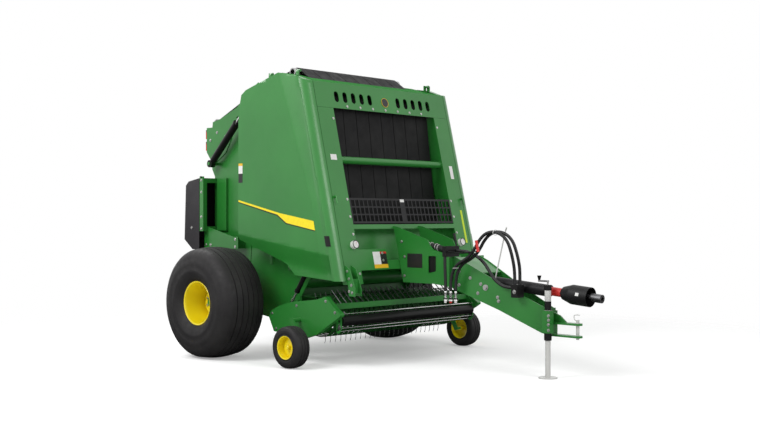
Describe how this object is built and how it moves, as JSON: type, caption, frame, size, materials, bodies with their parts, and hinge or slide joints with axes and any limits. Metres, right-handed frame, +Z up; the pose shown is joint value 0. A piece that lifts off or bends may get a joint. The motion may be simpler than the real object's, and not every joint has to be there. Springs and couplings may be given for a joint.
{
  "type": "towed round baler",
  "caption": "Towed round baler with belts, swinging tailgate, tine pickup, side shields, drive shaft, hitch, jack and hose rack, on two wide wheels.",
  "frame": {"origin": "centre of the machine's length and width, on the floor", "axes": "+X to the hitch, +Y to the machine's left, +Z up"},
  "size_m": [4.765, 3.126, 2.985],
  "materials": {
    "green_paint": "gloss",
    "rim_yellow": "gloss",
    "tyre_rubber": "matte",
    "belt_rubber": "matte",
    "hose_rubber": "matte",
    "black_plastic": "matte",
    "grey_sheet": "satin",
    "roller_steel": "satin",
    "rod_chrome": "polished",
    "black_steel": "satin",
    "lamp_red": "gloss",
    "gauge_white": "gloss"
  },
  "bodies": {
    "chassis": {"axle": "green_paint", "clevis": "green_paint", "couplers": "rod_chrome", "floor_rollers": "green_paint", "front_belts": "belt_rubber", "front_frame": "green_paint", "front_rollers": "roller_steel", "gauges": "gauge_white", "gearbox": "green_paint", "grille": "grey_sheet", "hood": "green_paint", "hose_drop": "hose_rubber", "hose_loop_a": "hose_rubber", "hose_loop_b": "hose_rubber", "hose_low": "hose_rubber", "hose_rack": "black_steel", "hose_trunk": "hose_rubber", "jack_crank": "black_steel", "jack_tube": "black_steel", "latches": "black_steel", "lift_brackets": "green_paint", "pto_guard": "black_plastic", "shield_hinges": "green_paint", "side_walls": "green_paint", "tongue": "green_paint", "tongue_mount": "green_paint"},
    "wheel_right": {"tyre_right": "tyre_rubber", "rim_right": "rim_yellow"},
    "wheel_left": {"tyre_left": "tyre_rubber", "rim_left": "rim_yellow"},
    "drive_shaft": {"pto_shaft": "roller_steel"},
    "jack": {"jack_leg": "rod_chrome"},
    "tailgate": {"gate_walls": "green_paint", "rear_belts": "belt_rubber", "gate_rollers": "roller_steel", "gate_frame": "green_paint", "lamp_brackets": "green_paint", "tail_lamps": "lamp_red"},
    "net_box_lid": {"net_cover": "black_plastic"},
    "gate_barrel_right": {"gate_cylinder_right": "black_steel"},
    "gate_barrel_left": {"gate_cylinder_left": "black_steel"},
    "gate_piston_right": {"gate_rod_right": "rod_chrome"},
    "gate_piston_left": {"gate_rod_left": "rod_chrome"},
    "lift_barrel_right": {"lift_cylinder_right": "black_steel"},
    "lift_barrel_left": {"lift_cylinder_left": "black_steel"},
    "lift_piston_right": {"lift_rod_right": "rod_chrome"},
    "lift_piston_left": {"lift_rod_left": "rod_chrome"},
    "side_door_right": {"shield_right": "green_paint"},
    "side_door_left": {"shield_left": "green_paint"},
    "pickup": {"pickup_frame": "green_paint", "strippers": "green_paint", "windguard": "green_paint", "gauge_arms": "green_paint"},
    "reel": {"tine_reel": "black_steel"},
    "guard_roller": {"windguard_roller": "black_steel"},
    "gauge_wheel_right": {"gauge_tyre_right": "tyre_rubber", "gauge_rim_right": "rim_yellow"},
    "gauge_wheel_left": {"gauge_tyre_left": "tyre_rubber", "gauge_rim_left": "rim_yellow"}
  },
  "joints": [
    {"name": "wheel_right_spin", "type": "hinge", "parent": "chassis", "child": "wheel_right", "pos_m": [-1.4575, -1.29, 0.57], "axis": [0, 1, 0], "continuous": true},
    {"name": "wheel_left_spin", "type": "hinge", "parent": "chassis", "child": "wheel_left", "pos_m": [-1.4575, 1.29, 0.57], "axis": [0, 1, 0], "continuous": true},
    {"name": "drive_shaft_spin", "type": "hinge", "parent": "chassis", "child": "drive_shaft", "pos_m": [0.5325, 0, 0.884], "axis": [0.9966, 0, -0.0828], "continuous": true},
    {"name": "jack_slide", "type": "slide", "parent": "chassis", "child": "jack", "axis": [0, 0, 1], "range_m": [0, 0.3]},
    {"name": "tailgate_hinge", "type": "hinge", "parent": "chassis", "child": "tailgate", "pos_m": [-1.3375, 0, 2.82], "axis": [0, 1, 0], "range_deg": [0, 60]},
    {"name": "net_lid_hinge", "type": "hinge", "parent": "tailgate", "child": "net_box_lid", "pos_m": [-2.1125, 0, 1.884], "axis": [0, 1, 0], "range_deg": [0, 70]},
    {"name": "gate_barrel_right_swing", "type": "hinge", "parent": "tailgate", "child": "gate_barrel_right", "pos_m": [-2.0525, -0.88, 2.032], "axis": [0, 1, 0], "range_deg": [0, 5.68]},
    {"name": "gate_piston_right_slide", "type": "slide", "parent": "gate_barrel_right", "child": "gate_piston_right", "axis": [0.7303, 0, 0.6831], "range_m": [0, 0.1659]},
    {"name": "lift_barrel_right_swing", "type": "hinge", "parent": "chassis", "child": "lift_barrel_right", "pos_m": [-0.3575, -0.945, 0.985], "axis": [0, 1, 0], "range_deg": [0, 0.26]},
    {"name": "lift_piston_right_slide", "type": "slide", "parent": "lift_barrel_right", "child": "lift_piston_right", "axis": [-0.5791, 0, -0.8152], "range_m": [-0.0266, 0]},
    {"name": "side_door_right_hinge", "type": "hinge", "parent": "chassis", "child": "side_door_right", "pos_m": [-0.6825, -0.955, 2.905], "axis": [-1, 0, 0], "range_deg": [0, 65]},
    {"name": "gate_barrel_left_swing", "type": "hinge", "parent": "tailgate", "child": "gate_barrel_left", "pos_m": [-2.0525, 0.88, 2.032], "axis": [0, 1, 0], "range_deg": [0, 5.68]},
    {"name": "gate_piston_left_slide", "type": "slide", "parent": "gate_barrel_left", "child": "gate_piston_left", "axis": [0.7303, 0, 0.6831], "range_m": [0, 0.1659]},
    {"name": "lift_barrel_left_swing", "type": "hinge", "parent": "chassis", "child": "lift_barrel_left", "pos_m": [-0.3575, 0.945, 0.985], "axis": [0, 1, 0], "range_deg": [0, 0.26]},
    {"name": "lift_piston_left_slide", "type": "slide", "parent": "lift_barrel_left", "child": "lift_piston_left", "axis": [-0.5791, 0, -0.8152], "range_m": [-0.0266, 0]},
    {"name": "side_door_left_hinge", "type": "hinge", "parent": "chassis", "child": "side_door_left", "pos_m": [-0.6825, 0.955, 2.905], "axis": [1, 0, 0], "range_deg": [0, 65]},
    {"name": "pickup_lift", "type": "hinge", "parent": "chassis", "child": "pickup", "pos_m": [-0.8175, 0, 0.6], "axis": [0, -1, 0], "range_deg": [0, 10]},
    {"name": "reel_spin", "type": "hinge", "parent": "pickup", "child": "reel", "pos_m": [-0.2575, 0, 0.47], "axis": [0, 1, 0], "continuous": true},
    {"name": "guard_roller_spin", "type": "hinge", "parent": "pickup", "child": "guard_roller", "pos_m": [0.0925, 0, 0.45], "axis": [0, 1, 0], "continuous": true},
    {"name": "gauge_wheel_right_spin", "type": "hinge", "parent": "pickup", "child": "gauge_wheel_right", "pos_m": [-0.2625, -1.282, 0.203], "axis": [0, 1, 0], "continuous": true},
    {"name": "gauge_wheel_left_spin", "type": "hinge", "parent": "pickup", "child": "gauge_wheel_left", "pos_m": [-0.2625, 1.282, 0.203], "axis": [0, 1, 0], "continuous": true}
  ],
  "couplings": [
    {"joint": "gate_barrel_right_swing", "follows": "tailgate_hinge", "ratio": 0.09428},
    {"joint": "gate_piston_right_slide", "follows": "tailgate_hinge", "m_per_rad": 0.15828},
    {"joint": "lift_barrel_right_swing", "follows": "pickup_lift", "ratio": 0.02402},
    {"joint": "lift_piston_right_slide", "follows": "pickup_lift", "m_per_rad": -0.15125},
    {"joint": "gate_barrel_left_swing", "follows": "tailgate_hinge", "ratio": 0.09428},
    {"joint": "gate_piston_left_slide", "follows": "tailgate_hinge", "m_per_rad": 0.15828},
    {"joint": "lift_barrel_left_swing", "follows": "pickup_lift", "ratio": 0.02402},
    {"joint": "lift_piston_left_slide", "follows": "pickup_lift", "m_per_rad": -0.15125}
  ]
}
